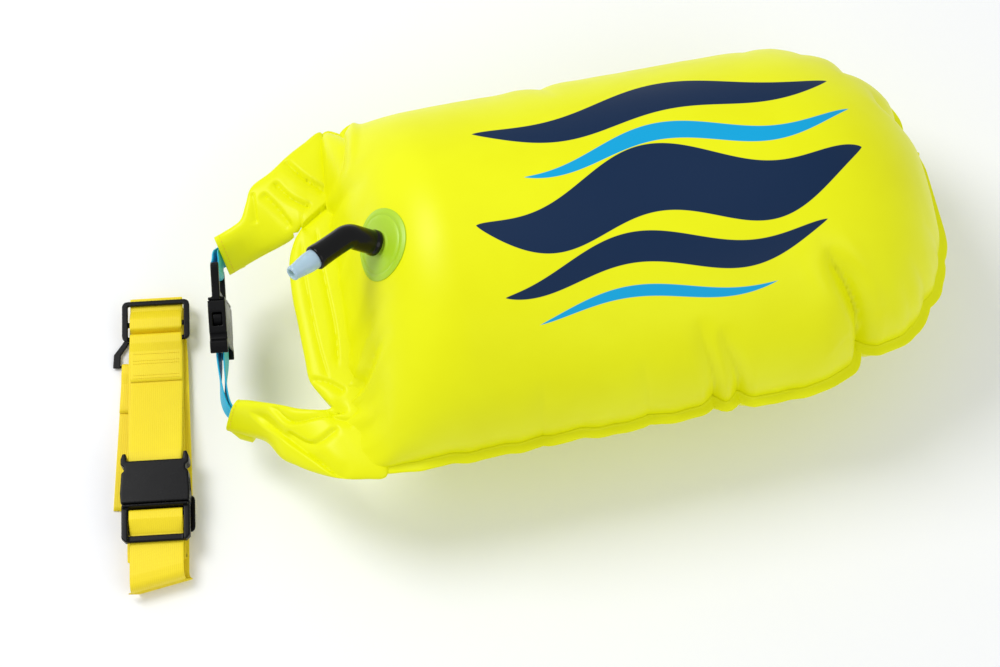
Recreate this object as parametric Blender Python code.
"""Open water swim buoy: an inflated dry bag tow float with a rolled mouth, a valve and a belt.

The bag lies on its belly. The origin is on the belly's contact patch, +X points to the closed end
of the bag and +Z up. Sizes are metres, and the belt lies on the floor beside the bag.
"""

import math

import bmesh
import bpy
from mathutils import Matrix, Vector

MM = 0.001
CLEARANCE = 0.3 * MM
OVERRUN = 2 * MM
UP = Vector((0, 0, 1))

# Bag: two sheets welded round the edge and blown up
BAG_LENGTH = 434.5 * MM
MOUTH_REACH = 222.5 * MM
BAG_HALF_WIDTH = 133 * MM
BAG_HALF_HEIGHT = 107 * MM
BAG_SHEET = 0.9 * MM
BELLY_FLAT_DEPTH = 2.5 * MM
BAG_END_HALF_WIDTH = 30 * MM
CLOSED_CAP_LENGTH = 122 * MM
MOUTH_CAP_LENGTH = 76 * MM
MOUTH_SLIT_HALF = 3 * MM
SEAM_THICKNESS = 2 * MM
SEAM_WIDTH = 7 * MM
SEAM_INNER_LAP = 2 * MM
CLOSED_OUTLINE_POWERS = (2.0, 1.8)
CLOSED_HEIGHT_POWER = 2.4
PANEL_COLUMNS = 22
MOUTH_STATIONS = 7
MIDDLE_STATION_SHARES = (0.2, 0.4, 0.55, 0.62, 0.655, 0.685, 0.715, 0.745, 0.775, 0.81, 0.86, 0.93)
CLOSED_STATIONS = 18

# Puckers of the weld. Each is a line from the weld in over the sheets, its depth at the weld, and
# how far it reaches to the sides at the line's two ends. Places are shares of the bag's length from
# the mouth and of its half width; depth and reach are shares of the half width.
PUCKER_SHARES = (
    (((0.834, -1.015), (0.820, -0.842), (0.797, -0.714), (0.774, -0.600), (0.756, -0.496)), 0.135, (0.38, 0.10)),
    (((0.562, -1.100), (0.553, -0.947), (0.542, -0.842), (0.533, -0.707)), 0.056, (0.09, 0.113)),
    (((0.608, -1.100), (0.595, -0.970), (0.577, -0.857), (0.567, -0.767)), 0.064, (0.09, 0.105)),
    (((1.030, 0.338), (0.984, 0.338), (0.949, 0.391), (0.922, 0.451)), 0.098, (0.26, 0.12)),
    (((0.949, 0.842), (0.922, 0.737), (0.894, 0.647), (0.871, 0.586)), 0.055, (0.22, 0.12)),
)

# Rolled mouth: a flat roll across the bag, whose two ends fold round to the clip
ROLL_WIDTH = 40 * MM
ROLL_THICKNESS = 11 * MM
ROLL_CORNER = 2.5 * MM
ROLL_SPAN = 135 * MM
ROLL_MIDDLE_Y = -6.5 * MM
STIFFENER_WIDTH = 25 * MM
STIFFENER_THICKNESS = 1.6 * MM
ARM_ROOT_THICKNESS = 12 * MM
ARM_END_THICKNESS = 11 * MM
ARM_OUTER_LAP = 6 * MM
ARM_TAPER = 14 * MM
ARM_BEND_SHARE = 0.4
ARM_ROUND_SHARE = 0.4
ARM_ROOT_STATIONS = 2
ARM_STATIONS = 8
UPPER_ARM_OFFSET = Vector((4.5, 0.0, -1.0)) * MM
LOWER_ARM_OFFSET = Vector((6.5, 1.0, -1.0)) * MM
UPPER_ARM_ACROSS = Vector((-0.28, 0.45, 0.85)).normalized()
LOWER_ARM_ACROSS = Vector((0.25, 0.25, 0.93)).normalized()
UPPER_ARM_ALONG = Vector((-0.72, -0.69, 0.0))
LOWER_ARM_ALONG = Vector((-0.86, 0.42, 0.0))

# Webbing and clip, one pattern for the mouth and for the belt
WEB = 1.2 * MM
WEB_GAP = 0.3 * MM
WEB_WIDTH = 40 * MM
CLIP_WIDTH = 52 * MM
CLIP_THICKNESS = 13 * MM
CLIP_BODY_LENGTH = 39 * MM
CLIP_INSERT_LENGTH = 29 * MM
CLIP_SIDE_EASE = 1 * MM
CLIP_SIDE_WALL = 3.7 * MM
CLIP_PLATE = 1.5 * MM
CLIP_BAR = 3.2 * MM
CLIP_OUTER_BAR = 5 * MM
CLIP_BASE = 3 * MM
CLIP_SLOT = 3.2 * MM
CLIP_BODY_SLOT = 4.5 * MM
CLIP_BODY_BAR_INSET = 11 * MM
CLIP_FRAME_THICKNESS = 6 * MM
CLIP_INSERT_CORNER = 3 * MM
CLIP_BULGE_SHARE = 0.2
NOTCH_INSET = 14.5 * MM
NOTCH_DEPTH = 2 * MM
NOTCH_LENGTH = 5 * MM
EAR_WIDTH = 4 * MM
EAR_LENGTH = 6 * MM
GUIDE_WIDTH = 6 * MM
GUIDE_LENGTH = 12 * MM
GUIDE_THICKNESS = 4.2 * MM
PRONG_LENGTH = 18 * MM
PRONG_THICKNESS = 6.4 * MM
PRONG_ROOT_X = 16 * MM
PRONG_WIDTH = 4.2 * MM
PRONG_LEAN = 2.2 * MM
PRONG_HEAD_LENGTH = 8 * MM
PRONG_HOOK_INSET = 1.7 * MM
PRONG_HOOK_SLOPE = 0.5 * MM
PRONG_HOOK_SHARE = 0.4
PRONG_END_ROOM = 1 * MM

# Clip of the rolled mouth: its place from the bag's mouth, and the way from the body to the insert
MOUTH_CLIP_OUT = 97 * MM
MOUTH_CLIP_Y = 30 * MM
MOUTH_CLIP_DROP = 34 * MM
MOUTH_CLIP_AXIS = Vector((0.12, 0.963, 0.25)).normalized()
TAB_WIDTH = 36 * MM
TAB_TUCK_WIDTH = 10 * MM
TAB_LEAVE = 1 * MM
TAB_LAP = 1.8 * MM
UPPER_TAB_SPAN = 11 * MM
LOWER_TAB_SPAN = 12 * MM
TAB_STATIONS = 8
TAB_TURN_STEPS = 6

# Inflation valve: a flange on the bag's slope, a bent sleeve, and a push nozzle in its end
VALVE_INSET = 25.5 * MM
VALVE_Y = 3 * MM
VALVE_AXIS = Vector((-0.74, 0.10, 0.66)).normalized()
NOZZLE_AXIS = Vector((-0.80, -0.50, 0.25)).normalized()
VALVE_HOLE_HALF = 10 * MM
SLOPE_STEP = 0.5 * MM
FLANGE_RADIUS = 26 * MM
FLANGE_THICKNESS = 1.2 * MM
FLANGE_STEP_SHARES = (0.45, 0.75, 1.0)
FLANGE_SIDES = 24
STEM_RADIUS = 6.2 * MM
STEM_WALL = 1.4 * MM
STEM_HEIGHT = 11 * MM
SLEEVE_STANDOFF = 1.6 * MM
SLEEVE_RADIUS = 7.6 * MM
SLEEVE_WALL = 1.1 * MM
SLEEVE_FIRST_LEG = 28 * MM
SLEEVE_SECOND_LEG = 32 * MM
SLEEVE_BEND_RADIUS = 12 * MM
SLEEVE_BEND_STEPS = 6
NOZZLE_RADIUS = 6.1 * MM
NOZZLE_TIP_RADIUS = 4.2 * MM
NOZZLE_BORE = 3 * MM
NOZZLE_OUTSIDE = 21 * MM
NOZZLE_INSIDE = 7 * MM
NOZZLE_LIP = 1.5 * MM
NOZZLE_LIP_STEP = 0.5 * MM
NOZZLE_STRAIGHT_SHARE = 0.35
SEAT_DEPTH = 17 * MM
SEAT_THICKNESS = 2 * MM
SEAT_BORE = 3 * MM
POPPET_ROD = 1.3 * MM
POPPET_HEAD = 4.8 * MM
POPPET_HEAD_THICKNESS = 1.4 * MM
POPPET_STAR = 2.7 * MM
POPPET_STAR_DEPTH = 1 * MM
POPPET_STAR_SLOPE = 1.5 * MM
POPPET_STAR_LENGTH = 4 * MM
POPPET_SIDES = 12
POPPET_ARM_EVERY = 4
SEAL_RADIUS = 4 * MM
SEAL_WIRE = 0.55 * MM
SEAL_SECTION_SIDES = 8
SPRING_RADIUS = 3.9 * MM
SPRING_WIRE = 0.35 * MM
SPRING_TURNS = 3
SPRING_TURN_STEPS = 10
SPRING_SIDES = 6

# Belt: its own frame has the near fold at y 0 and runs along y
BELT_OUT = 178.9 * MM
BELT_NEAR_Y = -157.7 * MM
BELT_TURN = math.radians(-7.9)
BELT_LENGTH = 231.5 * MM
BELT_CLIP_Y = 60 * MM
TAIL_LENGTH = 26 * MM
SPLICE_Y = 140 * MM
NEAR_FOLD_Y = 20 * MM
LOWER_FAR_FOLD_INSET = 8 * MM
FRONT_JOIN_Y = 24 * MM
NEAR_LOOP_LENGTH = 10 * MM
NEAR_LOOP_RISE = 1 * MM
NEAR_LOOP_DROP = 2 * MM
NEAR_LOOP_RADIUS = 7 * MM
STRAP_CREST = 2 * MM
STRAP_CLIMB = 6 * MM
STRAP_BEND = 1.6 * MM
FRAME_CORNER = 4 * MM
SLIDE_WIDTH = 52 * MM
SLIDE_LENGTH = 33 * MM
SLIDE_FAR_GAP = 4 * MM
SLIDE_MIDDLE = 12.2 * MM
SLIDE_BAR = 3.6 * MM
SLIDE_RAIL = 4.5 * MM
SLIDE_BAR_THICKNESS = 2.2 * MM
SLIDE_FRAME_THICKNESS = 3.2 * MM
SEWN_FLAP = 33 * MM
KEEPER_NEAR_Y = 40 * MM
KEEPER_LENGTH = 29 * MM
KEEPER_SHIFT = 2 * MM
KEEPER_BAR = 3.4 * MM
KEEPER_RAIL = 3.5 * MM
KEEPER_BAR_THICKNESS = 1.6 * MM

# Leash strap and ring, the lowest of the belt's layers
LEASH_LENGTH = 115.5 * MM
LEASH_SEWN_LENGTH = 37.5 * MM
LEASH_FOLD_LENGTH = 6 * MM
LEASH_FOLD_SLOPE = 8 * MM
LEASH_X = -7.8 * MM
LEASH_TURN = math.radians(-3.5)
LEASH_CLEAR = 4 * MM
LEASH_DROP = 14 * MM
RING_Y = 177.5 * MM
RING_DEPTH = 27.5 * MM
RING_WIDTH = 54 * MM
RING_BAR = 4.5 * MM
RING_RAIL = 5.5 * MM
RING_THICKNESS = 2 * MM
RING_ROD = 0.95 * MM
RING_ROD_SIDES = 12
RING_CORNER = 8 * MM
RING_SHOULDER_SHARES = (0.35, 0.8)

# What follows from the sizes above
SEAM_Z = BAG_HALF_HEIGHT - BELLY_FLAT_DEPTH
MOUTH_X = -MOUTH_REACH
CLOSED_X = MOUTH_X + BAG_LENGTH
RIM_HALF = SEAM_THICKNESS / 2 + CLEARANCE
VALVE_X = MOUTH_X + VALVE_INSET
PRONG_PIVOT_X = PRONG_ROOT_X + PRONG_WIDTH / 2
CLIP_SLOT_HALF = WEB_WIDTH / 2 + 2 * CLEARANCE
STRAP_OVER = WEB / 2 + CLEARANCE
LAYER_PITCH = WEB + WEB_GAP
LEASH_STACK = 2 * WEB + RING_THICKNESS + 3 * WEB_GAP
SLIDE_NEAR_Y = BELT_LENGTH - SLIDE_FAR_GAP - SLIDE_LENGTH
SLIDE_MIDDLE_Y = SLIDE_NEAR_Y + SLIDE_MIDDLE
SEWN_END_Y = SLIDE_NEAR_Y - SEWN_FLAP
KEEPER_MIDDLE_Y = KEEPER_NEAR_Y + KEEPER_LENGTH / 2
LEASH_NEAR_Y = RING_Y - LEASH_LENGTH


def clear_scene():
    for item in list(bpy.data.objects):
        bpy.data.objects.remove(item, do_unlink=True)


def material(name, colour, roughness, metallic=0.0):
    made = bpy.data.materials.new(name)
    made.use_nodes = True
    shader = made.node_tree.nodes["Principled BSDF"]
    shader.inputs["Base Color"].default_value = (*colour, 1)
    shader.inputs["Roughness"].default_value = roughness
    shader.inputs["Metallic"].default_value = metallic
    return made


def frame(name, place, parent=None):
    """An empty that carries the pieces made in its own axes."""
    item = bpy.data.objects.new(name, None)
    item.parent = parent
    item.matrix_basis = place
    bpy.context.scene.collection.objects.link(item)
    return item


def solid(name, points, faces, paint, holder=None):
    """An object from points in its holder's axes, with its faces turned out."""
    mesh = bpy.data.meshes.new(name)
    mesh.from_pydata([tuple(p) for p in points], [], faces)
    work = bmesh.new()
    work.from_mesh(mesh)
    bmesh.ops.recalc_face_normals(work, faces=work.faces)
    if work.calc_volume(signed=True) < 0:
        bmesh.ops.reverse_faces(work, faces=work.faces)
    work.to_mesh(mesh)
    work.free()
    mesh.materials.append(paint)
    item = bpy.data.objects.new(name, mesh)
    item.parent = holder
    bpy.context.scene.collection.objects.link(item)
    return item


def boolean(item, other, operation="DIFFERENCE", solver="EXACT"):
    other.hide_render = True
    other.display_type = "WIRE"
    step = item.modifiers.new(other.name, "BOOLEAN")
    step.operation = operation
    step.solver = solver
    step.object = other


def box(name, low, high, paint, holder=None):
    points = [(x, y, z) for x in (low[0], high[0]) for y in (low[1], high[1]) for z in (low[2], high[2])]
    faces = [(0, 1, 3, 2), (4, 6, 7, 5), (0, 4, 5, 1), (2, 3, 7, 6), (0, 2, 6, 4), (1, 5, 7, 3)]
    return solid(name, points, faces, paint, holder)


def cut_boxes(item, cuts, paint, holder):
    """Cuts a box out of the item for each label, given by its low and high corners."""
    for label, (low, high) in cuts.items():
        boolean(item, box(f"{item.name}_{label}_cut", low, high, paint, holder))


def prism(name, outline, low, high, paint, holder=None):
    """A flat outline in x and y, drawn out from z low to z high."""
    count = len(outline)
    points = [(x, y, low) for x, y in outline] + [(x, y, high) for x, y in outline]
    faces = [tuple(range(count)), tuple(range(count, 2 * count))]
    faces += [(i, (i + 1) % count, count + (i + 1) % count, count + i) for i in range(count)]
    return solid(name, points, faces, paint, holder)


def joined_rings(rings, closed):
    """Faces between rings of equal count, each joined to the next."""
    count = len(rings[0])
    faces = []
    for i in range(len(rings) if closed else len(rings) - 1):
        j = (i + 1) % len(rings)
        for k in range(count):
            m = (k + 1) % count
            faces.append((i * count + k, i * count + m, j * count + m, j * count + k))
    return faces


def tube(name, rings, paint, holder=None):
    """Rings joined in a row, the last to the first: a hollow turned or swept piece."""
    points = [p for ring in rings for p in ring]
    return solid(name, points, joined_rings(rings, True), paint, holder)


def loft(name, rings, paint, holder=None):
    """Rings joined in a row, with the first and last filled."""
    count = len(rings[0])
    points = [p for ring in rings for p in ring]
    caps = [tuple(range(count)), tuple(range(len(points) - count, len(points)))]
    return solid(name, points, caps + joined_rings(rings, False), paint, holder)


def circle(centre, axis, radius, sides=20):
    side = axis.cross(UP).normalized()
    rise = side.cross(axis)
    turns = [2 * math.pi * k / sides for k in range(sides)]
    return [centre + radius * (math.cos(t) * side + math.sin(t) * rise) for t in turns]


def rounded(points, radius, steps=5):
    """A path whose corners are arcs of this radius, or of what the shorter leg allows."""
    points = [Vector(p) for p in points]
    path = [points[0]]
    for before, corner, after in zip(points, points[1:], points[2:]):
        back = before - corner
        ahead = after - corner
        angle = back.angle(ahead)
        reach = min(radius / math.tan(angle / 2), back.length / 2, ahead.length / 2)
        arc = reach * math.tan(angle / 2)
        start = corner + reach * back.normalized()
        middle = corner + (back.normalized() + ahead.normalized()).normalized() * math.hypot(arc, reach)
        end = corner + reach * ahead.normalized()
        first = start - middle
        last = end - middle
        sweep = first.angle(last)
        for k in range(steps + 1):
            t = k / steps
            spread = (math.sin((1 - t) * sweep) * first + math.sin(t * sweep) * last) / math.sin(sweep)
            point = middle + spread
            if (point - path[-1]).length > CLEARANCE / 10:
                path.append(point)
    path.append(points[-1])
    return path


def ribbon(name, path, paint, holder):
    """Webbing: a path in y and z, given half the thickness to each side and drawn across x."""
    over, under = [], []
    for i, point in enumerate(path):
        steps = []
        if i:
            steps.append((point - path[i - 1]).normalized())
        if i + 1 < len(path):
            steps.append((path[i + 1] - point).normalized())
        along = (steps[0] + steps[-1]).normalized()
        stretch = 1 / max(along.dot(steps[0]), 0.5)
        across = Vector((-along.y, along.x)) * WEB / 2 * stretch
        over.append(point + across)
        under.append(point - across)
    outline = over + under[::-1]
    count = len(outline)
    points = [(x, y, z) for x in (-WEB_WIDTH / 2, WEB_WIDTH / 2) for y, z in outline]
    faces = [(i, (i + 1) % count, count + (i + 1) % count, count + i) for i in range(count)]
    for base in (0, count):
        for i in range(len(path) - 1):
            faces.append((base + i, base + i + 1, base + count - 2 - i, base + count - 1 - i))
    return solid(name, points, faces, paint, holder)


def rounded_corners(half_width, half_height, corner, steps=3):
    """Points round an upright box whose corners are rounded, as pairs across and up."""
    outline = []
    for quarter, (sx, sy) in enumerate(((1, 1), (-1, 1), (-1, -1), (1, -1))):
        for k in range(steps + 1):
            turn = math.pi / 2 * (quarter + k / steps)
            across = sx * (half_width - corner) + corner * math.cos(turn)
            up = sy * (half_height - corner) + corner * math.sin(turn)
            outline.append((across, up))
    return outline


# Bag


def bag_section(x):
    """The bag's half width, and its half height over the seam, at x."""
    width, height = BAG_HALF_WIDTH, BAG_HALF_HEIGHT
    closed_start = CLOSED_X - CLOSED_CAP_LENGTH
    mouth_end = MOUTH_X + MOUTH_CAP_LENGTH
    if x > closed_start:
        share = min((x - closed_start) / CLOSED_CAP_LENGTH, 1.0)
        round_off = (1 - share ** CLOSED_OUTLINE_POWERS[0]) ** (1 / CLOSED_OUTLINE_POWERS[1])
        width = BAG_END_HALF_WIDTH + (BAG_HALF_WIDTH - BAG_END_HALF_WIDTH) * round_off
        height = RIM_HALF + (BAG_HALF_HEIGHT - RIM_HALF) * math.sqrt(1 - share ** CLOSED_HEIGHT_POWER)
    elif x < mouth_end:
        share = min((mouth_end - x) / MOUTH_CAP_LENGTH, 1.0)
        height = MOUTH_SLIT_HALF + (BAG_HALF_HEIGHT - MOUTH_SLIT_HALF) * math.sqrt(1 - share * share)
    return width, height


def bag_height(x, y):
    """How far the bag's upper face stands over the seam plane."""
    width, height = bag_section(x)
    share = min(abs(y) / width, 1.0)
    return RIM_HALF + (height - RIM_HALF) * math.sqrt(1 - share * share)


def bag_point(x, y, lift):
    """A point over the bag's upper face, lifted along the face's normal."""
    slope_x = (bag_height(x + SLOPE_STEP, y) - bag_height(x - SLOPE_STEP, y)) / (2 * SLOPE_STEP)
    slope_y = (bag_height(x, y + SLOPE_STEP) - bag_height(x, y - SLOPE_STEP)) / (2 * SLOPE_STEP)
    normal = Vector((-slope_x, -slope_y, 1)).normalized()
    return Vector((x, y, SEAM_Z + bag_height(x, y))) + normal * lift


def bag_stations():
    """Places along the bag, closer together in the two caps."""
    quarter = math.pi / 2
    start = MOUTH_X + MOUTH_CAP_LENGTH
    end = CLOSED_X - CLOSED_CAP_LENGTH
    mouth = [start - MOUTH_CAP_LENGTH * math.cos(quarter * k / MOUTH_STATIONS) for k in range(MOUTH_STATIONS + 1)]
    middle = [start + (end - start) * share for share in MIDDLE_STATION_SHARES]
    closed = [end + CLOSED_CAP_LENGTH * math.sin(quarter * k / CLOSED_STATIONS) for k in range(CLOSED_STATIONS + 1)]
    return mouth + middle + closed


def set_in(grid, side, depth_at):
    """A sheet's grid moved in along its own facing by the depth at each point; the seam stays level."""
    moved = []
    last = len(grid) - 1
    for i, row in enumerate(grid):
        moved_row = []
        for k, point in enumerate(row):
            edge = k in (0, len(row) - 1)
            along = grid[min(i + 1, last)][k] - grid[max(i - 1, 0)][k]
            across = row[min(k + 1, len(row) - 1)] - row[max(k - 1, 0)]
            facing = along.cross(across) * side
            if i == last:
                before = grid[i - 1][k] if k == 0 else row[k - 1]
                after = grid[i - 1][k] if k == len(row) - 1 else row[k + 1]
                facing = (after - before).cross(UP)
            elif edge:
                facing = along.cross(-UP if k else UP)
            spot = point - facing.normalized() * depth_at(point)
            if edge or i == last:
                spot.z = point.z
            moved_row.append(spot)
        moved.append(moved_row)
    return moved


def pucker_depth(point):
    """How far the puckers pull the sheets in at a point, seen from above."""
    deepest = 0
    for line, depth, reaches in PUCKER_SHARES:
        spots = [Vector((MOUTH_X + BAG_LENGTH * a, BAG_HALF_WIDTH * b)) for a, b in line]
        nearest, place = None, 0
        for i, (start, end) in enumerate(zip(spots, spots[1:])):
            step = end - start
            share = min(max((point.xy - start).dot(step) / step.length_squared, 0), 1)
            gap = (point.xy - start - step * share).length
            if nearest is None or gap < nearest:
                nearest, place = gap, (i + share) / (len(spots) - 1)
        reach = BAG_HALF_WIDTH * (reaches[0] + (reaches[1] - reaches[0]) * place)
        fall = max(1 - nearest / reach, 0)
        deepest = max(deepest, BAG_HALF_WIDTH * depth * (1 - place * place) * fall * fall)
    return deepest


def sheet_grid(side):
    """The outer face of a sheet, as rows of points from one seam over to the other."""
    grid = []
    for x in bag_stations():
        width, height = bag_section(x)
        row = []
        for k in range(PANEL_COLUMNS + 1):
            turn = math.pi * k / PANEL_COLUMNS
            lift = RIM_HALF + (height - RIM_HALF) * math.sin(turn)
            row.append(Vector((x, -width * math.cos(turn), SEAM_Z + side * lift)))
        grid.append(row)
    return set_in(grid, side, pucker_depth)


def panel(name, side, paint):
    """One of the bag's two sheets, pressed flat on the floor; side is 1 above and -1 below."""
    outer = sheet_grid(side)
    inner = set_in(outer, side, lambda point: BAG_SHEET)
    for grid, least in ((outer, 0), (inner, BAG_SHEET)):
        for row in grid:
            for point in row:
                point.z = max(point.z, least)
    rows, columns = len(outer), len(outer[0])
    points = [p for grid in (outer, inner) for row in grid for p in row]
    faces = []
    for base in (0, rows * columns):
        for i in range(rows - 1):
            for k in range(columns - 1):
                a = base + i * columns + k
                faces.append((a, a + 1, a + columns + 1, a + columns))
    rim = list(range(columns))
    rim += [i * columns + columns - 1 for i in range(1, rows)]
    rim += [(rows - 1) * columns + k for k in range(columns - 2, -1, -1)]
    rim += [i * columns for i in range(rows - 2, 0, -1)]
    shift = rows * columns
    for a, b in zip(rim, rim[1:] + rim[:1]):
        faces.append((a, b, b + shift, a + shift))
    return solid(name, points, faces, paint)


def perimeter_weld(paint):
    """The flat welded edge that stands out round the bag, from one mouth corner to the other."""
    grid = sheet_grid(1)
    seam = [row[0] for row in grid[:-1]] + grid[-1] + [row[-1] for row in reversed(grid[:-1])]
    inner_edge, outer_edge = [], []
    for i, point in enumerate(seam):
        along = seam[min(i + 1, len(seam) - 1)] - seam[max(i - 1, 0)]
        outward = along.cross(UP).normalized()
        inner_edge.append((point - outward * SEAM_INNER_LAP).to_2d())
        outer_edge.append((point + outward * SEAM_WIDTH).to_2d())
    outline = outer_edge + inner_edge[::-1]
    low = SEAM_Z - SEAM_THICKNESS / 2
    return prism("perimeter_weld", outline, low, low + SEAM_THICKNESS, paint)


# Rolled mouth


def roll_band(paint, stiff):
    """The straight part of the roll, a flattened tube, and the batten rolled up in it."""
    centre_x = MOUTH_X - CLEARANCE - ROLL_WIDTH / 2
    low_y, high_y = ROLL_MIDDLE_Y - ROLL_SPAN / 2, ROLL_MIDDLE_Y + ROLL_SPAN / 2
    outside = rounded_corners(ROLL_WIDTH / 2, ROLL_THICKNESS / 2, ROLL_CORNER)
    slot = rounded_corners(STIFFENER_WIDTH / 2 + CLEARANCE, STIFFENER_THICKNESS / 2 + CLEARANCE, CLEARANCE)
    rings = []
    for section, y in ((outside, low_y), (outside, high_y), (slot, high_y), (slot, low_y)):
        rings.append([Vector((centre_x + a, y, SEAM_Z + u)) for a, u in section])
    tube("roll_band", rings, paint)
    half = Vector((STIFFENER_WIDTH / 2, ROLL_SPAN / 2, STIFFENER_THICKNESS / 2))
    middle = Vector((centre_x, ROLL_MIDDLE_Y, SEAM_Z))
    box("mouth_stiffener", middle - half, middle + half, stiff)


def arm_end(upper):
    """Where an arm of the roll ends: its middle, the way across its width, and the way it points."""
    if upper:
        across, along = UPPER_ARM_ACROSS, UPPER_ARM_ALONG
        middle = clip_place() @ Vector((0, -CLIP_INSERT_LENGTH - UPPER_TAB_SPAN, 0)) + UPPER_ARM_OFFSET
    else:
        across, along = LOWER_ARM_ACROSS, LOWER_ARM_ALONG
        middle = clip_place() @ Vector((0, CLIP_BODY_LENGTH + LOWER_TAB_SPAN, 0)) + LOWER_ARM_OFFSET
    along = (along - along.dot(across) * across).normalized()
    return middle, across, along


def roll_arm(name, upper, paint):
    """An end of the roll: it leaves the bag's corner flat and turns up on edge towards the clip."""
    side = 1 if upper else -1
    inner_y = ROLL_MIDDLE_Y + side * (ROLL_SPAN / 2 + CLEARANCE)
    outer_y = side * (BAG_HALF_WIDTH + ARM_OUTER_LAP)
    bend_y = outer_y - side * ARM_TAPER
    end, end_across, end_along = arm_end(upper)
    root_x = MOUTH_X - CLEARANCE
    bend = Vector((root_x - ROLL_WIDTH, (inner_y + bend_y) / 2, SEAM_Z))
    leave = Vector((-1, 0, 0))
    flat = Vector((0, 1, 0))
    reach = (end - bend).length * ARM_BEND_SHARE
    root_half, bend_half = abs(outer_y - inner_y) / 2, abs(bend_y - inner_y) / 2
    stations = []
    for k in range(ARM_ROOT_STATIONS):
        t = k / ARM_ROOT_STATIONS
        half = root_half + (bend_half - root_half) * t * t
        middle = Vector((root_x - ROLL_WIDTH * t, inner_y + side * half, SEAM_Z))
        stations.append((middle, leave, flat, half, ARM_ROOT_THICKNESS))
    for k in range(ARM_STATIONS):
        t = k / (ARM_STATIONS - 1)
        ease = t * t * (3 - 2 * t)
        near = bend + leave * reach
        far = end - end_along * reach
        a, b, c = bend.lerp(near, t), near.lerp(far, t), far.lerp(end, t)
        first, second = a.lerp(b, t), b.lerp(c, t)
        half = bend_half + (ROLL_WIDTH / 2 - bend_half) * ease
        thickness = ARM_ROOT_THICKNESS + (ARM_END_THICKNESS - ARM_ROOT_THICKNESS) * t
        along = (second - first).normalized()
        stations.append((first.lerp(second, t), along, flat.lerp(end_across, ease), half, thickness))
    rings = []
    for centre, along, across, half, thickness in stations:
        across = (across - across.dot(along) * along).normalized()
        up = along.cross(across)
        section = rounded_corners(half, thickness / 2, thickness * ARM_ROUND_SHARE)
        rings.append([centre + a * across + u * up for a, u in section])
    return loft(name, rings, paint)


# Clip, in its own frame: x across, y towards the webbing end of the body, z through


def clip_place():
    """The mouth clip's frame: its width stands up and its length runs between the arms' ends."""
    y = -MOUTH_CLIP_AXIS
    x = (UP - UP.dot(y) * y).normalized()
    z = x.cross(y)
    place = Matrix((x, y, z)).transposed().to_4x4()
    place.translation = Vector((MOUTH_X - MOUTH_CLIP_OUT, MOUTH_CLIP_Y, SEAM_Z - MOUTH_CLIP_DROP))
    return place


def clip_bar_y():
    """Where the webbing bar of the body starts."""
    return CLIP_BODY_LENGTH - CLIP_BODY_BAR_INSET


def clip_inner_bar():
    """Start and end of the insert's inner bar."""
    end = -CLIP_BASE - CLIP_SLOT
    return end - CLIP_BAR, end


def clip_body(name, paint, holder):
    half = CLIP_WIDTH / 2
    rise = CLIP_THICKNESS / 2
    waist = half - CLIP_SIDE_EASE
    shoulder = half - CLIP_SIDE_EASE / 2
    notch_near = CLIP_BODY_LENGTH - NOTCH_INSET
    notch_far = notch_near + NOTCH_LENGTH
    ear_y = CLIP_BODY_LENGTH - EAR_LENGTH
    right = [
        (shoulder, 0),
        (half, CLIP_BODY_LENGTH * CLIP_BULGE_SHARE),
        (waist, notch_near - CLIP_SIDE_EASE),
        (waist - NOTCH_DEPTH, notch_near + CLIP_SIDE_EASE),
        (waist - NOTCH_DEPTH, notch_far - CLIP_SIDE_EASE),
        (shoulder, notch_far + CLIP_SIDE_EASE),
        (shoulder, ear_y + 2 * CLIP_SIDE_EASE),
        (half - 2 * CLIP_SIDE_EASE, CLIP_BODY_LENGTH),
        (shoulder - EAR_WIDTH, CLIP_BODY_LENGTH),
        (waist - EAR_WIDTH, ear_y),
    ]
    outline = right + [(-x, y) for x, y in reversed(right)]
    body = prism(name, outline, -rise, rise, paint, holder)
    bar = clip_bar_y()
    roof = rise - CLIP_PLATE
    room = half - CLIP_SIDE_WALL
    prong_room = PRONG_THICKNESS / 2 + CLEARANCE
    prong_end = PRONG_LENGTH + PRONG_END_ROOM
    window_start = PRONG_LENGTH - PRONG_HEAD_LENGTH - PRONG_END_ROOM
    slot = CLIP_SLOT_HALF
    near, far = bar - CLEARANCE, bar + CLIP_BAR + CLEARANCE
    cut_boxes(body, {
        "mouth": ((-room, -OVERRUN, -prong_room), (room, prong_end, prong_room)),
        "windows": ((-half - OVERRUN, window_start, -prong_room), (half + OVERRUN, prong_end, prong_room)),
        "slot_back": ((-slot, bar - CLIP_BODY_SLOT, -roof), (slot, bar, roof)),
        "slot_front": ((-slot, bar + CLIP_BAR, -roof), (slot, CLIP_BODY_LENGTH + OVERRUN, roof)),
        "over_bar": ((-slot, near, CLIP_BAR / 2), (slot, far, roof)),
        "under_bar": ((-slot, near, -roof), (slot, far, -CLIP_BAR / 2)),
    }, paint, holder)
    return body


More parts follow.
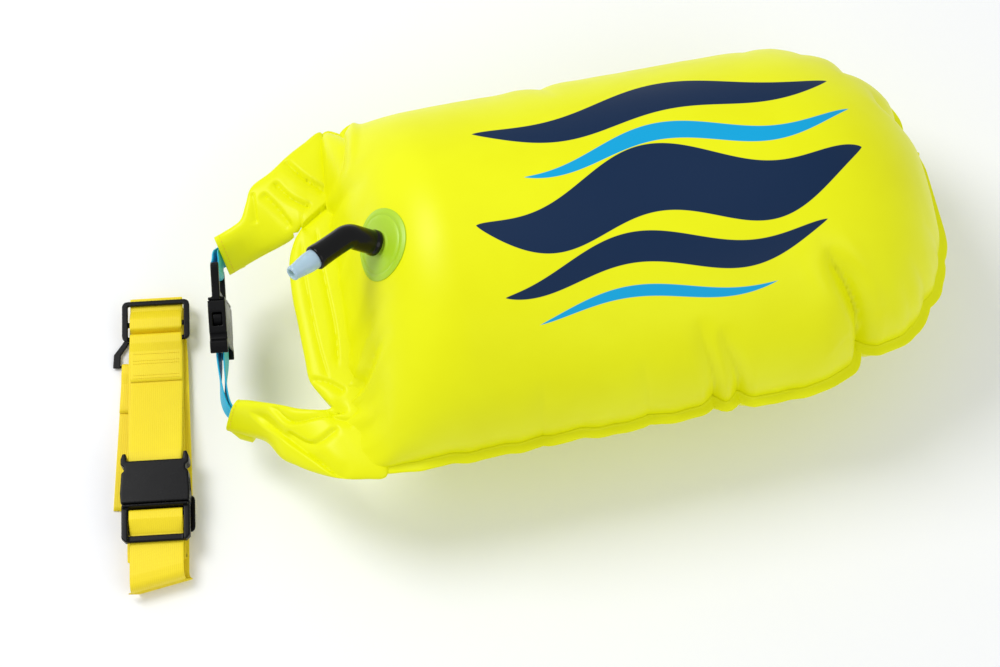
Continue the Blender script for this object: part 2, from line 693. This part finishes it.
def clip_insert(name, paint, holder):
    half = CLIP_WIDTH / 2 - CLIP_SIDE_EASE / 2
    flat = CLIP_FRAME_THICKNESS / 2
    end = -CLIP_INSERT_LENGTH
    corner_x, corner_y = half - CLIP_INSERT_CORNER, end + CLIP_INSERT_CORNER
    outline = [
        (half, -CLEARANCE), (half, corner_y), (corner_x, end),
        (-corner_x, end), (-half, corner_y), (-half, -CLEARANCE),
    ]
    insert = prism(name, outline, -flat, flat, paint, holder)
    slot = CLIP_SLOT_HALF
    through = flat + OVERRUN
    thin = CLIP_BAR / 2
    bar_near, bar_far = clip_inner_bar()
    over_near, over_far = bar_near - CLEARANCE, bar_far + CLEARANCE
    outer_near, outer_far = end - OVERRUN, end + CLIP_OUTER_BAR + CLEARANCE
    cut_boxes(insert, {
        "window": ((-slot, end + CLIP_OUTER_BAR, -through), (slot, bar_near, through)),
        "slot": ((-slot, bar_far, -through), (slot, bar_far + CLIP_SLOT, through)),
        "over": ((-slot, over_near, thin), (slot, over_far, through)),
        "under": ((-slot, over_near, -through), (slot, over_far, -thin)),
        "outer_over": ((-slot, outer_near, thin), (slot, outer_far, through)),
        "outer_under": ((-slot, outer_near, -through), (slot, outer_far, -thin)),
    }, paint, holder)
    rise = CLIP_THICKNESS / 2 - CLEARANCE
    wide = half - CLIP_SIDE_EASE
    base_near = -CLIP_BASE + CLEARANCE
    base = box(f"{name}_base_add", (-wide, base_near, -rise), (wide, -2 * CLEARANCE, rise), paint, holder)
    boolean(insert, base, "UNION")
    guide = (GUIDE_WIDTH / 2, GUIDE_THICKNESS / 2)
    tongue = box(f"{name}_guide_add", (-guide[0], base_near, -guide[1]), (guide[0], GUIDE_LENGTH, guide[1]),
                 paint, holder)
    boolean(insert, tongue, "UNION")
    return insert


def clip_prong(name, side, paint, holder):
    """A sprung prong, made about the point at its root that it flexes round."""
    pivot = frame(f"{name}_pivot", Matrix.Translation((side * PRONG_PIVOT_X, 0, 0)), holder)
    half = PRONG_WIDTH / 2
    head = PRONG_LENGTH - PRONG_HEAD_LENGTH
    hook = CLIP_WIDTH / 2 - PRONG_HOOK_INSET - PRONG_PIVOT_X
    right = [
        (-half, 0),
        (half, 0),
        (half + PRONG_LEAN / 2, head),
        (hook, head + PRONG_HOOK_SLOPE),
        (hook, head + PRONG_HEAD_LENGTH * PRONG_HOOK_SHARE),
        (half + PRONG_LEAN / 2, PRONG_LENGTH),
        (PRONG_LEAN - half, PRONG_LENGTH),
        (PRONG_LEAN / 2 - half, head),
    ]
    outline = [(side * x, y) for x, y in right]
    return prism(name, outline, -PRONG_THICKNESS / 2, PRONG_THICKNESS / 2, paint, pivot)


def make_clip(prefix, paint, holder):
    clip_body(f"{prefix}_body", paint, holder)
    clip_insert(f"{prefix}_insert", paint, holder)
    clip_prong(f"{prefix}_prong_left", -1, paint, holder)
    clip_prong(f"{prefix}_prong_right", 1, paint, holder)


def mouth_tab(name, upper, paint):
    """A webbing tab: it folds round the clip's bar, and its two layers twist to the arm's end."""
    place = clip_place()
    turn = CLIP_BAR / 2 + STRAP_OVER
    if upper:
        side, outside = -1, -CLIP_INSERT_LENGTH
        fold = outside + CLIP_OUTER_BAR + turn
    else:
        side, outside = 1, CLIP_BODY_LENGTH
        fold = clip_bar_y() - turn
    clip_across, clip_along, clip_normal = (place.to_3x3().col[i].copy() for i in range(3))
    end, end_across, end_along = arm_end(upper)
    if end_across.dot(clip_across) < 0:
        end_across = -end_across
    end_normal = end_across.cross(end_along)
    if end_normal.dot(clip_normal) < 0:
        end_normal = -end_normal
    start = end + end_along * CLEARANCE
    stop = place @ Vector((0, outside + side * TAB_LEAVE, 0))
    layers = ([], [])
    for k in range(TAB_STATIONS + 1):
        t = k / TAB_STATIONS
        across = end_across.lerp(clip_across, t).normalized()
        normal = end_normal.lerp(clip_normal, t).normalized()
        offset = TAB_LAP + (turn - TAB_LAP) * t
        half = (TAB_TUCK_WIDTH + (TAB_WIDTH - TAB_TUCK_WIDTH) * t) / 2
        for face, layer_points in zip((1, -1), layers):
            point = start.lerp(stop, t) + face * offset * normal
            layer_points.append((point, across * half, face * normal))
    centre = place @ Vector((0, fold + side * turn, 0))
    loop = []
    for k in range(TAB_TURN_STEPS + 1):
        angle = math.pi * k / TAB_TURN_STEPS
        out = -side * math.sin(angle) * clip_along + math.cos(angle) * clip_normal
        loop.append((centre + out * turn, clip_across * TAB_WIDTH / 2, out))
    rings = []
    for point, across, normal in layers[0] + loop + layers[1][::-1]:
        rings.append([point + across * a + normal * u * WEB / 2
                      for a, u in ((1, 1), (-1, 1), (-1, -1), (1, -1))])
    loft(name, rings, paint)


# Inflation valve


def valve_centre():
    return Vector((VALVE_X, VALVE_Y, SEAM_Z + bag_height(VALVE_X, VALVE_Y)))


def valve_hole(paint):
    """The cutter that opens the bag under the valve's stem."""
    reach = VALVE_AXIS * VALVE_HOLE_HALF
    ends = (valve_centre() - reach, valve_centre() + reach)
    return loft("valve_hole_cut", [circle(p, VALVE_AXIS, STEM_RADIUS - STEM_WALL) for p in ends], paint)


def valve_flange(paint):
    """A soft disc on the bag's slope, with the stem that the sleeve is pushed over."""
    centre = valve_centre()
    normal = (bag_point(VALVE_X, VALVE_Y, FLANGE_THICKNESS) - centre).normalized()
    side = Vector((0, 1, 0))
    down = side.cross(normal).normalized()
    bore = STEM_RADIUS - STEM_WALL
    radii = [bore, STEM_RADIUS] + [FLANGE_RADIUS * share for share in FLANGE_STEP_SHARES]
    top = CLEARANCE + FLANGE_THICKNESS
    rings = []
    for radius, height in [(r, top) for r in radii] + [(r, CLEARANCE) for r in reversed(radii)]:
        ring = []
        for k in range(FLANGE_SIDES):
            turn = 2 * math.pi * k / FLANGE_SIDES
            spot = centre + radius * (math.cos(turn) * side + math.sin(turn) * down)
            ring.append(bag_point(spot.x, spot.y, height))
        rings.append(ring)
    flange = tube("valve_flange", rings, paint)
    low = centre + VALVE_AXIS * CLEARANCE * 2
    high = low + VALVE_AXIS * STEM_HEIGHT
    ends = ((low, STEM_RADIUS), (high, STEM_RADIUS), (high, bore), (low, bore))
    stem = tube("valve_stem_add", [circle(point, VALVE_AXIS, radius) for point, radius in ends], paint)
    boolean(flange, stem, "UNION")
    return flange


def sleeve_path():
    """The sleeve's centre line from the flange round its bend to its open end."""
    start = valve_centre() + VALVE_AXIS * (FLANGE_THICKNESS + 2 * CLEARANCE + SLEEVE_STANDOFF)
    corner = valve_centre() + VALVE_AXIS * SLEEVE_FIRST_LEG
    end = corner + NOZZLE_AXIS * SLEEVE_SECOND_LEG
    return rounded([start, corner, end], SLEEVE_BEND_RADIUS, SLEEVE_BEND_STEPS)


def valve_sleeve(paint):
    path = sleeve_path()
    middle = [(after - before).normalized() for before, after in zip(path, path[2:])]
    outer, inner = [], []
    for point, axis in zip(path, [VALVE_AXIS] + middle + [NOZZLE_AXIS]):
        outer.append(circle(point, axis, SLEEVE_RADIUS))
        inner.append(circle(point, axis, SLEEVE_RADIUS - SLEEVE_WALL))
    return tube("valve_sleeve", outer + inner[::-1], paint)


def nozzle_place():
    """The nozzle's frame: the sleeve's open end, with z pointing out along the nozzle."""
    x = NOZZLE_AXIS.cross(UP).normalized()
    place = Matrix((x, NOZZLE_AXIS.cross(x), NOZZLE_AXIS)).transposed().to_4x4()
    place.translation = sleeve_path()[-1]
    return place


def turned_rings(profile, sides=20):
    """Rings about z for (height, radius) pairs."""
    turns = [2 * math.pi * k / sides for k in range(sides)]
    return [[Vector((r * math.cos(t), r * math.sin(t), z)) for t in turns] for z, r in profile]


def valve_core(nozzle_paint, dark, rubber, metal, holder):
    """The push nozzle, the seat in the sleeve, and the sprung poppet with its seal."""
    tube("mouthpiece", turned_rings([
        (-NOZZLE_INSIDE, NOZZLE_RADIUS),
        (NOZZLE_OUTSIDE * NOZZLE_STRAIGHT_SHARE, NOZZLE_RADIUS),
        (NOZZLE_OUTSIDE - NOZZLE_LIP, NOZZLE_TIP_RADIUS),
        (NOZZLE_OUTSIDE, NOZZLE_TIP_RADIUS - NOZZLE_LIP_STEP),
        (NOZZLE_OUTSIDE, NOZZLE_BORE),
        (-NOZZLE_INSIDE, NOZZLE_BORE),
    ]), nozzle_paint, holder)
    seat_low, seat_high = -SEAT_DEPTH, -SEAT_DEPTH + SEAT_THICKNESS
    seat_radius = SLEEVE_RADIUS - SLEEVE_WALL - CLEARANCE
    seat = [(seat_low, seat_radius), (seat_high, seat_radius), (seat_high, SEAT_BORE), (seat_low, SEAT_BORE)]
    tube("valve_seat", turned_rings(seat), dark, holder)
    head_top = seat_low - 2 * CLEARANCE - 2 * SEAL_WIRE
    star_start = -NOZZLE_INSIDE + POPPET_STAR_DEPTH
    poppet = turned_rings([
        (head_top - POPPET_HEAD_THICKNESS, POPPET_HEAD),
        (head_top, POPPET_HEAD),
        (head_top, POPPET_ROD),
        (star_start - POPPET_STAR_SLOPE, POPPET_ROD),
        (star_start, POPPET_ROD),
        (star_start + POPPET_STAR_LENGTH, POPPET_ROD),
    ], POPPET_SIDES)
    for ring in poppet[-2:]:
        for point in ring[::POPPET_ARM_EVERY]:
            point.xy *= POPPET_STAR / POPPET_ROD
    loft("valve_poppet", poppet, dark, holder)
    turns = [2 * math.pi * k / SEAL_SECTION_SIDES for k in range(SEAL_SECTION_SIDES)]
    seal_z = head_top + CLEARANCE + SEAL_WIRE
    seal = [(seal_z + SEAL_WIRE * math.cos(t), SEAL_RADIUS + SEAL_WIRE * math.sin(t)) for t in turns]
    tube("valve_seal", turned_rings(seal), rubber, holder)
    valve_spring(seat_high + CLEARANCE + SPRING_WIRE, -NOZZLE_INSIDE - CLEARANCE - SPRING_WIRE, metal, holder)


def valve_spring(low, high, paint, holder):
    rings = []
    steps = SPRING_TURNS * SPRING_TURN_STEPS
    for k in range(steps + 1):
        turn = 2 * math.pi * k / SPRING_TURN_STEPS
        out = Vector((math.cos(turn), math.sin(turn), 0))
        middle = out * SPRING_RADIUS + UP * (low + (high - low) * k / steps)
        angles = [2 * math.pi * m / SPRING_SIDES for m in range(SPRING_SIDES)]
        rings.append([middle + SPRING_WIRE * (math.cos(a) * out + math.sin(a) * UP) for a in angles])
    return loft("valve_spring", rings, paint, holder)


# Belt, in its own frame


def belt_place():
    return Matrix.Translation((MOUTH_X - BELT_OUT, BELT_NEAR_Y, 0)) @ Matrix.Rotation(BELT_TURN, 4, "Z")


def layer(count):
    """Height of the middle of one of the belt's flat runs over the leash strap."""
    return LEASH_STACK + WEB / 2 + count * LAYER_PITCH


def keeper_crest():
    """Height of the strap where it passes over the keeper's middle bar."""
    return layer(2) + 2 * STRAP_OVER + KEEPER_BAR_THICKNESS


def tail_height():
    return keeper_crest() + LAYER_PITCH


def belt_clip_height():
    """The belt clip lies on the strap's tail."""
    return tail_height() + STRAP_OVER + CLIP_THICKNESS / 2


def belt_strap_front(paint, holder):
    """The strap's end at the insert: its tail, the turn round the bars, and the near loop."""
    clip_z = belt_clip_height()
    over_bar = clip_z + CLIP_BAR / 2 + STRAP_OVER
    under_bar = clip_z - CLIP_BAR / 2 - STRAP_OVER
    bar_near, bar_far = (BELT_CLIP_Y + y for y in clip_inner_bar())
    slot_y = bar_far + CLIP_SLOT / 2
    outer_bar = BELT_CLIP_Y - CLIP_INSERT_LENGTH
    loop_top = under_bar + NEAR_LOOP_RISE
    floor = WEB / 2
    threaded = [
        (BELT_CLIP_Y + TAIL_LENGTH, tail_height()), (slot_y, tail_height()), (slot_y, over_bar),
        (bar_near - STRAP_CREST, over_bar), (outer_bar + CLIP_OUTER_BAR + STRAP_CREST, under_bar),
        (outer_bar - STRAP_CREST, under_bar), (NEAR_LOOP_LENGTH, loop_top),
    ]
    loop = [
        threaded[-2], threaded[-1], (WEB / 2, loop_top - NEAR_LOOP_DROP), (WEB / 2, floor),
        (FRONT_JOIN_Y - CLEARANCE, floor),
    ]
    path = rounded(threaded, STRAP_BEND)[:-1] + rounded(loop, NEAR_LOOP_RADIUS, 6)[1:]
    ribbon("belt_strap_front", path, paint, holder)


def slide_heights():
    """The strap's heights under and over the adjuster's bars."""
    under = layer(4)
    return under, under + 2 * STRAP_OVER + SLIDE_BAR_THICKNESS


def slide_fold_y():
    """How far the sewn loop round the adjuster's near bar reaches."""
    return SLIDE_NEAR_Y + SLIDE_BAR + 2 * STRAP_OVER


def belt_strap_top(paint, holder):
    """The fixed length between the adjuster and the clip's body, sewn back on itself at the adjuster."""
    clip_z = belt_clip_height()
    over_bar = clip_z + CLIP_BAR / 2 + STRAP_OVER
    under_bar = clip_z - CLIP_BAR / 2 - STRAP_OVER
    slide_under, slide_over = slide_heights()
    clip_fold = BELT_CLIP_Y + clip_bar_y() - (over_bar - under_bar) / 2
    leave = BELT_CLIP_Y + CLIP_BODY_LENGTH + STRAP_CREST
    path = [
        (SEWN_END_Y, layer(5)), (SLIDE_NEAR_Y - STRAP_CREST - STRAP_CLIMB, layer(5)),
        (SLIDE_NEAR_Y - STRAP_CREST, slide_over), (slide_fold_y(), slide_over), (slide_fold_y(), slide_under),
        (SEWN_END_Y - STRAP_CREST, slide_under), (leave, over_bar), (clip_fold, over_bar),
        (clip_fold, under_bar), (leave, under_bar), (SPLICE_Y - 2 * STRAP_CREST, layer(3)), (SPLICE_Y, layer(3)),
    ]
    ribbon("belt_strap_top", rounded(path, (slide_over - slide_under) / 2), paint, holder)


def belt_strap_lower(paint, holder):
    """The long free run: through the adjuster, then folded to and fro through the keeper."""
    slide_under, slide_over = slide_heights()
    far = BELT_LENGTH - WEB / 2
    far_bar = SLIDE_NEAR_Y + SLIDE_LENGTH - SLIDE_BAR
    lower_far = BELT_LENGTH - LOWER_FAR_FOLD_INSET
    crest = KEEPER_BAR / 2 + STRAP_CREST
    floor = WEB / 2
    path = [
        (SPLICE_Y + CLEARANCE, layer(3)), (slide_fold_y() + STRAP_CREST, layer(3)),
        (SLIDE_MIDDLE_Y - STRAP_CREST, slide_over), (SLIDE_MIDDLE_Y + SLIDE_BAR + STRAP_CREST, slide_over),
        (far_bar - 2 * STRAP_CREST, slide_under), (far, slide_under), (far, layer(2)),
        (KEEPER_MIDDLE_Y + crest + STRAP_CLIMB, layer(2)), (KEEPER_MIDDLE_Y + crest, keeper_crest()),
        (KEEPER_MIDDLE_Y - crest, keeper_crest()), (KEEPER_MIDDLE_Y - crest - STRAP_CLIMB, layer(2)),
        (NEAR_FOLD_Y, layer(2)), (NEAR_FOLD_Y, layer(1)), (lower_far, layer(1)), (lower_far, layer(0)),
        (LEASH_NEAR_Y - LEASH_CLEAR, layer(0)), (LEASH_NEAR_Y - LEASH_CLEAR - LEASH_DROP, floor),
        (FRONT_JOIN_Y, floor),
    ]
    ribbon("belt_strap_lower", rounded(path, STRAP_BEND), paint, holder)


def belt_slide(paint, holder):
    """The adjuster over the strap: three bars between two rails, the first two bars thinned."""
    middle = SLIDE_NEAR_Y + SLIDE_LENGTH / 2
    half = SLIDE_WIDTH / 2
    outline = [(x, middle + y) for x, y in rounded_corners(half, SLIDE_LENGTH / 2, FRAME_CORNER)]
    low = layer(4) + STRAP_OVER
    high = low + SLIDE_FRAME_THICKNESS
    slide = prism("belt_slide", outline, low, high, paint, holder)
    inside = half - SLIDE_RAIL
    far_bar = SLIDE_NEAR_Y + SLIDE_LENGTH - SLIDE_BAR
    under, over, thin = low - OVERRUN, high + OVERRUN, low + SLIDE_BAR_THICKNESS
    cut_boxes(slide, {
        "near": ((-inside, SLIDE_NEAR_Y + SLIDE_BAR, under), (inside, SLIDE_MIDDLE_Y, over)),
        "far": ((-inside, SLIDE_MIDDLE_Y + SLIDE_BAR, under), (inside, far_bar, over)),
        "thin": ((-inside, SLIDE_NEAR_Y - OVERRUN, thin), (inside, far_bar, over)),
    }, paint, holder)


def belt_keeper_slide(paint, holder):
    """A flat slide that the folded run is threaded through, a little to one side."""
    shifted = frame("belt_keeper_frame", Matrix.Translation((KEEPER_SHIFT, 0, 0)), holder)
    half = SLIDE_WIDTH / 2
    outline = [(x, KEEPER_MIDDLE_Y + y) for x, y in rounded_corners(half, KEEPER_LENGTH / 2, FRAME_CORNER)]
    low = layer(2) + STRAP_OVER
    high = low + KEEPER_BAR_THICKNESS
    keeper = prism("belt_keeper_slide", outline, low, high, paint, shifted)
    inside = half - KEEPER_RAIL
    near = KEEPER_NEAR_Y + KEEPER_BAR
    far = KEEPER_NEAR_Y + KEEPER_LENGTH - KEEPER_BAR
    under, over = low - OVERRUN, high + OVERRUN
    cut_boxes(keeper, {
        "near": ((-inside, near, under), (inside, KEEPER_MIDDLE_Y - KEEPER_BAR / 2, over)),
        "far": ((-inside, KEEPER_MIDDLE_Y + KEEPER_BAR / 2, under), (inside, far, over)),
    }, paint, shifted)


def leash_heights():
    """The leash strap's two layers at the ring: the lower one on the floor, the upper one over the rod."""
    return WEB / 2, LEASH_STACK - WEB_GAP - WEB / 2


def leash_strap(paint, holder):
    """The leash strap, whose end is folded round the ring's rod and sewn back."""
    low, high = leash_heights()
    fold = (high - low) / 2
    flap = low + LAYER_PITCH
    path = [
        (-LEASH_LENGTH, low), (fold, low), (fold, high), (-LEASH_FOLD_LENGTH, high),
        (-LEASH_FOLD_LENGTH - LEASH_FOLD_SLOPE, flap), (-LEASH_SEWN_LENGTH, flap),
    ]
    ribbon("leash_strap", rounded(path, fold), paint, holder)


def leash_ring(paint, holder):
    """The ring, made about the axis of the rod that it turns on."""
    low, high = leash_heights()
    pivot = frame("leash_ring_pivot", Matrix.Translation((0, 0, (low + high) / 2)), holder)
    rise = RING_THICKNESS / 2
    half = RING_WIDTH / 2
    shoulders = [RING_DEPTH * share for share in RING_SHOULDER_SHARES]
    outer = [(half, -rise), (half, shoulders[0]), (half - RING_CORNER, shoulders[1]),
             (half - 2 * RING_CORNER, RING_DEPTH)]
    inside = half - RING_RAIL
    inner = [(inside, -rise - OVERRUN), (inside, shoulders[0]), (inside - RING_CORNER, RING_DEPTH - RING_BAR)]
    ring = prism("leash_ring", outer + [(-x, y) for x, y in reversed(outer)], -rise, rise, paint, pivot)
    opening = inner + [(-x, y) for x, y in reversed(inner)]
    through = rise + OVERRUN
    boolean(ring, prism("leash_ring_window_cut", opening, -through, through, paint, pivot))
    reach = Vector((half - RING_RAIL / 2, 0, 0))
    rod = [circle(end, reach.normalized(), RING_ROD, RING_ROD_SIDES) for end in (-reach, reach)]
    boolean(ring, loft("leash_ring_rod_add", rod, paint, pivot), "UNION")


def build():
    clear_scene()
    yellow = material("bag yellow", (0.82, 0.85, 0.01), 0.35)
    webbing = material("webbing yellow", (0.86, 0.66, 0.0), 0.7)
    black = material("black plastic", (0.012, 0.012, 0.014), 0.35)
    rubber = material("black rubber", (0.02, 0.02, 0.02), 0.5)
    cyan = material("cyan webbing", (0.0, 0.48, 0.76), 0.65)
    pale = material("pale nozzle", (0.45, 0.68, 0.82), 0.3)
    green = material("flange", (0.45, 0.72, 0.05), 0.35)
    metal = material("spring steel", (0.6, 0.6, 0.6), 0.3, 1.0)
    stiff = material("batten", (0.8, 0.8, 0.8), 0.5)

    boolean(panel("bag_top_panel", 1, yellow), valve_hole(yellow), solver="MANIFOLD")
    panel("bag_bottom_panel", -1, yellow)
    perimeter_weld(yellow)
    roll_band(yellow, stiff)
    roll_arm("roll_end_upper", True, yellow)
    roll_arm("roll_end_lower", False, yellow)
    make_clip("mouth_clip", black, frame("mouth_clip_frame", clip_place()))
    mouth_tab("tab_upper", True, cyan)
    mouth_tab("tab_lower", False, cyan)

    valve_flange(green)
    valve_sleeve(rubber)
    valve_core(pale, black, rubber, metal, frame("nozzle_frame", nozzle_place()))

    belt = frame("belt_frame", belt_place())
    belt_strap_front(webbing, belt)
    belt_strap_top(webbing, belt)
    belt_strap_lower(webbing, belt)
    belt_slide(black, belt)
    belt_keeper_slide(black, belt)
    clip_at = Matrix.Translation((0, BELT_CLIP_Y, belt_clip_height()))
    make_clip("belt_clip", black, frame("belt_clip_frame", clip_at, belt))

    leash_at = Matrix.Translation((LEASH_X, RING_Y, 0)) @ Matrix.Rotation(LEASH_TURN, 4, "Z")
    leash = frame("leash_frame", leash_at, belt)
    leash_strap(webbing, leash)
    leash_ring(black, leash)


build()
